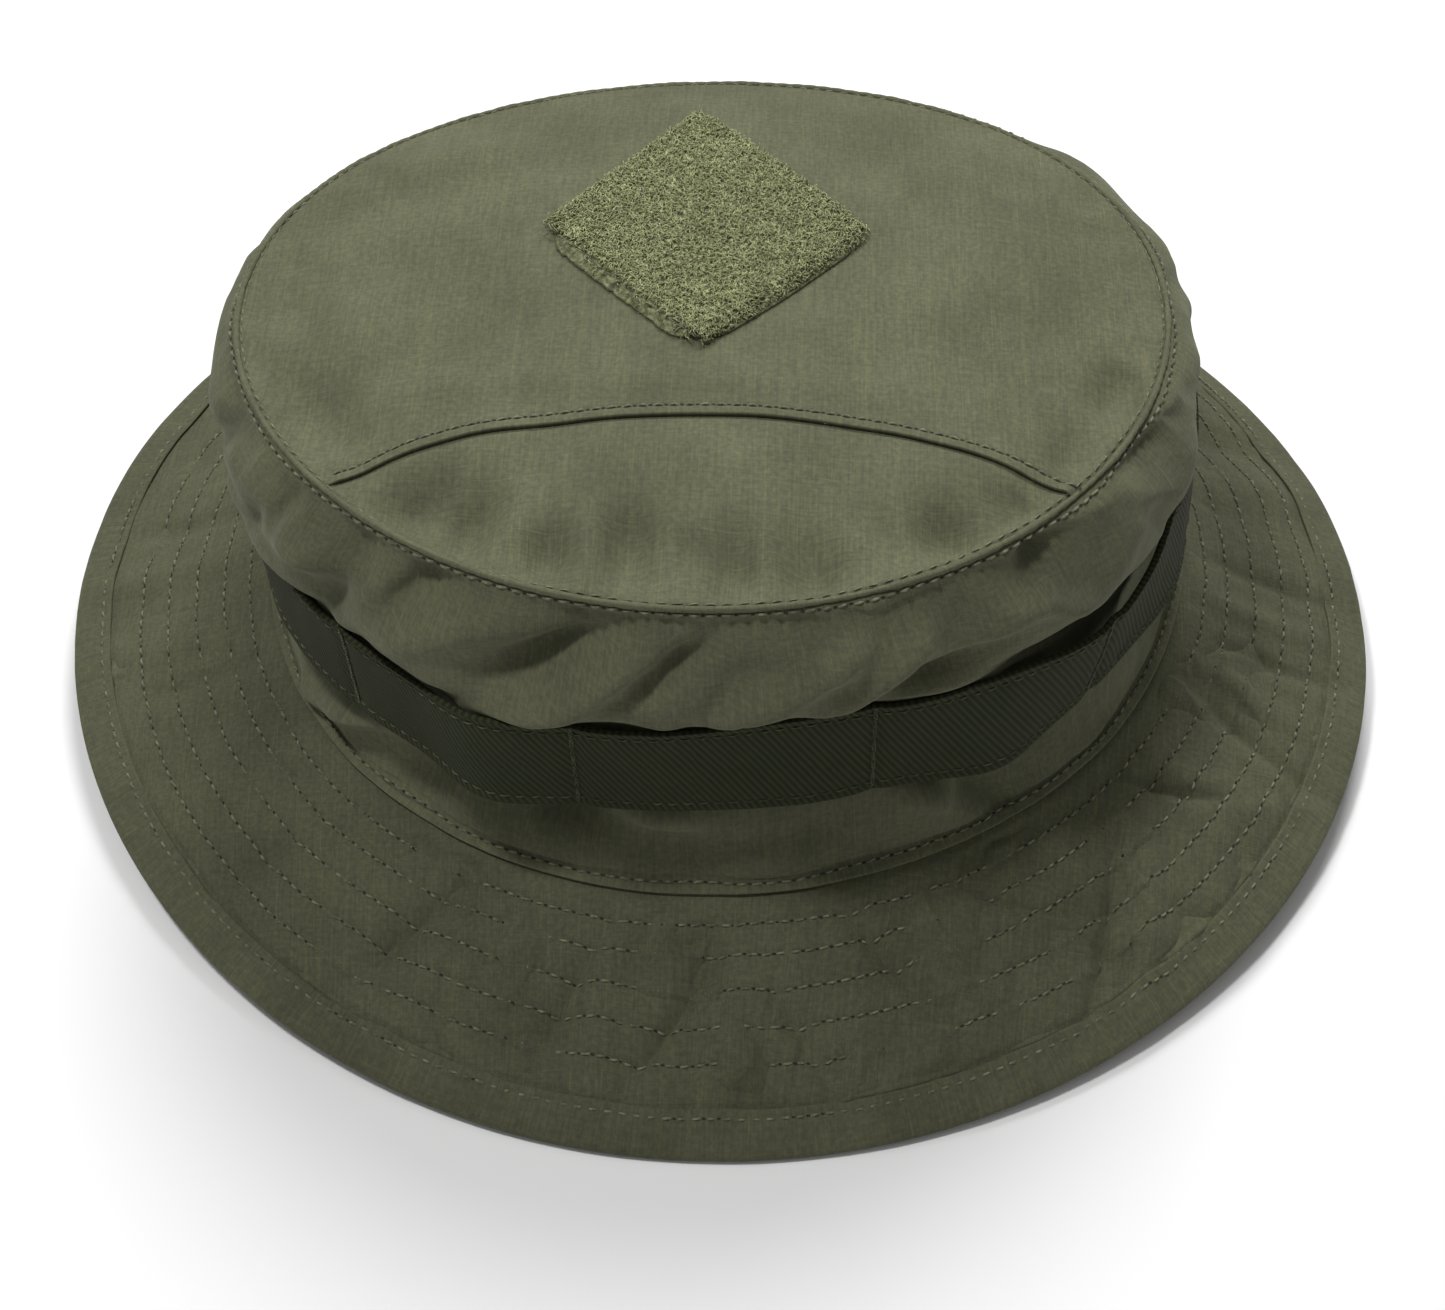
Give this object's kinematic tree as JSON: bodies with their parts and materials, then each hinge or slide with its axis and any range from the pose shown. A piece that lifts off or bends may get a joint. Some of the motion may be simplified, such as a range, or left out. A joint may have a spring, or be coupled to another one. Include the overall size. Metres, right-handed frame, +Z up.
{
  "type": "boonie hat",
  "caption": "Soft wide-brimmed field hat with a low oval crown, a tacked webbing band, a loop-pile patch on top and a row-stitched brim.",
  "frame": {"origin": "on the ground under the middle of the brim, whose rim rests at Z = 0", "axes": "+Z up, -Y towards the front of the hat, +X across the brim"},
  "size_m": [0.2991, 0.2854, 0.1188],
  "materials": {
    "ripstop": "matt olive ripstop cotton blend",
    "edge_tape": "matt olive folded tape",
    "webbing": "matt dark olive twill webbing",
    "loop_pile": "fuzzy knitted loop pile",
    "thread": "polyester-cotton sewing thread",
    "seam_tape": "matt olive twill tape",
    "sweatband_cotton": "matt olive cotton twill",
    "interlining": "undyed stiff woven interlining"
  },
  "bodies": {
    "root": {"arc_seam_stitching": "thread", "back_seam_binding": "seam_tape", "back_seam_stitching": "thread", "band_edge_stitching": "thread", "band_tacks": "thread", "base_seam_stitching": "thread", "binding_stitching": "thread", "brim_edge_binding": "edge_tape", "brim_interlining": "interlining", "brim_stitch_row_1": "thread", "brim_stitch_row_2": "thread", "brim_stitch_row_3": "thread", "brim_stitch_row_4": "thread", "brim_stitch_row_5": "thread", "brim_under_ply": "ripstop", "brim_upper_ply": "ripstop", "crown_front_panel": "ripstop", "crown_top_panel": "ripstop", "crown_wall": "ripstop", "foliage_band": "webbing", "loop_patch": "loop_pile", "patch_stitching": "thread", "sweatband": "sweatband_cotton", "sweatband_stitching": "thread", "tip_seam_binding": "seam_tape", "tip_seam_stitching_lower": "thread", "tip_seam_stitching_upper": "thread"}
  },
  "joints": []
}
